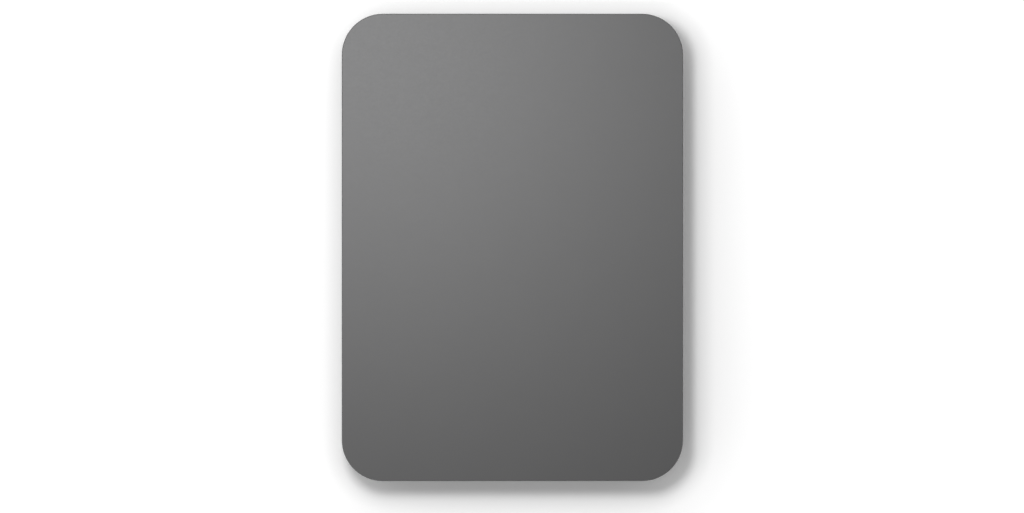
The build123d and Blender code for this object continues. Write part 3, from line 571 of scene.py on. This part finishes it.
def resistor_places():
    # two short rows each side of the port, and one row along the drive board, clear of its middle screw
    low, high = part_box("bridge_board")
    columns = (6.6 * MM, 8.1 * MM, 9.6 * MM)
    rows = (low.y + 2.4 * MM, low.y + 4.4 * MM)
    for side in (-1, 1):
        for y in rows:
            for x in columns:
                yield side * x, y, high.z
    low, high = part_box("drive_board")
    each_side = 8
    pitch = 3 * MM
    row_y = high.y - 4 * MM
    for i in range(-each_side, each_side + 1):
        if i != 0:
            yield i * pitch, row_y, high.z


def resistor_bodies(work):
    half_width = 0.25 * MM
    half_length = 0.36 * MM
    height = 0.32 * MM
    bevel = 0.02 * MM
    for x, y, z in resistor_places():
        low = (x - half_width, y - half_length, z)
        high = (x + half_width, y + half_length, z + height)
        add_block(work, low, high, bevel)


def resistor_ends(work):
    # a tinned cap over each end of a body
    half_width = 0.27 * MM
    inner_end = 0.3 * MM
    outer_end = 0.52 * MM
    height = 0.35 * MM
    bevel = 0.04 * MM
    for x, y, z in resistor_places():
        for side in (-1, 1):
            front, back = sorted((y + side * inner_end, y + side * outer_end))
            add_block(work, (x - half_width, front, z), (x + half_width, back, z + height), bevel)


bend_with_arm(piece("flex_strip", flex_strip, "polyimide", body=None))
piece("usb_contacts", usb_contacts, "bronze")
piece("plug_contacts", plug_contacts, "bronze")
piece("lid_screws", lid_screws, "spring_steel")
piece("board_screws", board_screws, "spring_steel")
piece("clamp_screws", clamp_screws, "spring_steel", "disk_pack")
piece("resistor_bodies", resistor_bodies, "slider_ceramic")
piece("resistor_ends", resistor_ends, "spring_steel")


# Stage, light and camera

def make_floor():
    mesh = bpy.data.meshes.new("floor")
    corners = [(x * FLOOR_HALF, y * FLOOR_HALF, 0) for x, y in ((-1, -1), (1, -1), (1, 1), (-1, 1))]
    mesh.from_pydata(corners, [], [(0, 1, 2, 3)])
    floor = bpy.data.objects.new("floor", mesh)
    bpy.context.scene.collection.objects.link(floor)
    look = Surface("floor", Specular_IOR_Level=0.0, Base_Color=FLOOR_COLOUR, Roughness=0.9)
    look.shader.inputs["Emission Color"].default_value = (1, 1, 1, 1)
    # the glow makes the floor white away from the object and leaves painted shade near it
    look.links.new(look.white_floor_and_painted_shade(), look.shader.inputs["Emission Strength"])
    mesh.materials.append(look.material)


def make_sky():
    # a soft room: dim overhead, pale towards the walls, palest towards the upper left
    world = bpy.data.worlds.new("room")
    bpy.context.scene.world = world
    world.use_nodes = True
    tree = world.node_tree
    direction = tree.nodes.new("ShaderNodeTexCoord").outputs["Generated"]
    split = tree.nodes.new("ShaderNodeSeparateXYZ")
    tree.links.new(direction, split.inputs["Vector"])
    level = tree.nodes.new("ShaderNodeMapRange")
    level.interpolation_type = "SMOOTHSTEP"
    level.inputs["From Min"].default_value = SKY_CEILING_START
    level.inputs["From Max"].default_value = SKY_CEILING_END
    level.inputs["To Min"].default_value = SKY_WALLS
    level.inputs["To Max"].default_value = SKY_CEILING
    tree.links.new(split.outputs["Z"], level.inputs["Value"])
    lean = tree.nodes.new("ShaderNodeVectorMath")
    lean.operation = "DOT_PRODUCT"
    lean.inputs[1].default_value = SKY_SLOPE
    tree.links.new(direction, lean.inputs[0])
    # level x lean + level
    total = tree.nodes.new("ShaderNodeMath")
    total.operation = "MULTIPLY_ADD"
    tree.links.new(level.outputs["Result"], total.inputs[0])
    tree.links.new(lean.outputs["Value"], total.inputs[1])
    tree.links.new(level.outputs["Result"], total.inputs[2])
    tree.links.new(total.outputs["Value"], tree.nodes["Background"].inputs["Strength"])
    tree.nodes["Background"].inputs["Color"].default_value = (1, 1, 1, 1)


def make_lamp():
    lamp = bpy.data.lights.new("key_lamp", "AREA")
    lamp.shape = "SQUARE"
    lamp.size = LAMP_SIZE
    lamp.energy = LAMP_POWER
    holder = bpy.data.objects.new("key_lamp", lamp)
    holder.location = LAMP_PLACE
    holder.rotation_euler = (Vector(LAMP_AIM) - Vector(LAMP_PLACE)).to_track_quat("-Z", "Y").to_euler()
    holder.visible_camera = False
    bpy.context.scene.collection.objects.link(holder)


def make_camera():
    # straight down on the top face, so high that the face's length takes up its share of the picture
    point = (cad_box[1].y - cad_box[0].y) / FACE_LENGTH
    height = cad_box[1].z + point * PICTURE_WIDTH * CAMERA_LENS / CAMERA_SENSOR
    camera = bpy.data.cameras.new("camera")
    camera.lens = CAMERA_LENS
    camera.sensor_width = CAMERA_SENSOR
    holder = bpy.data.objects.new("camera", camera)
    holder.location = (-FACE_RIGHT * point, -FACE_UP * point, height)
    bpy.context.scene.collection.objects.link(holder)
    bpy.context.scene.camera = holder


make_floor()
make_sky()
make_lamp()
make_camera()
bpy.context.scene.view_settings.view_transform = "Standard"
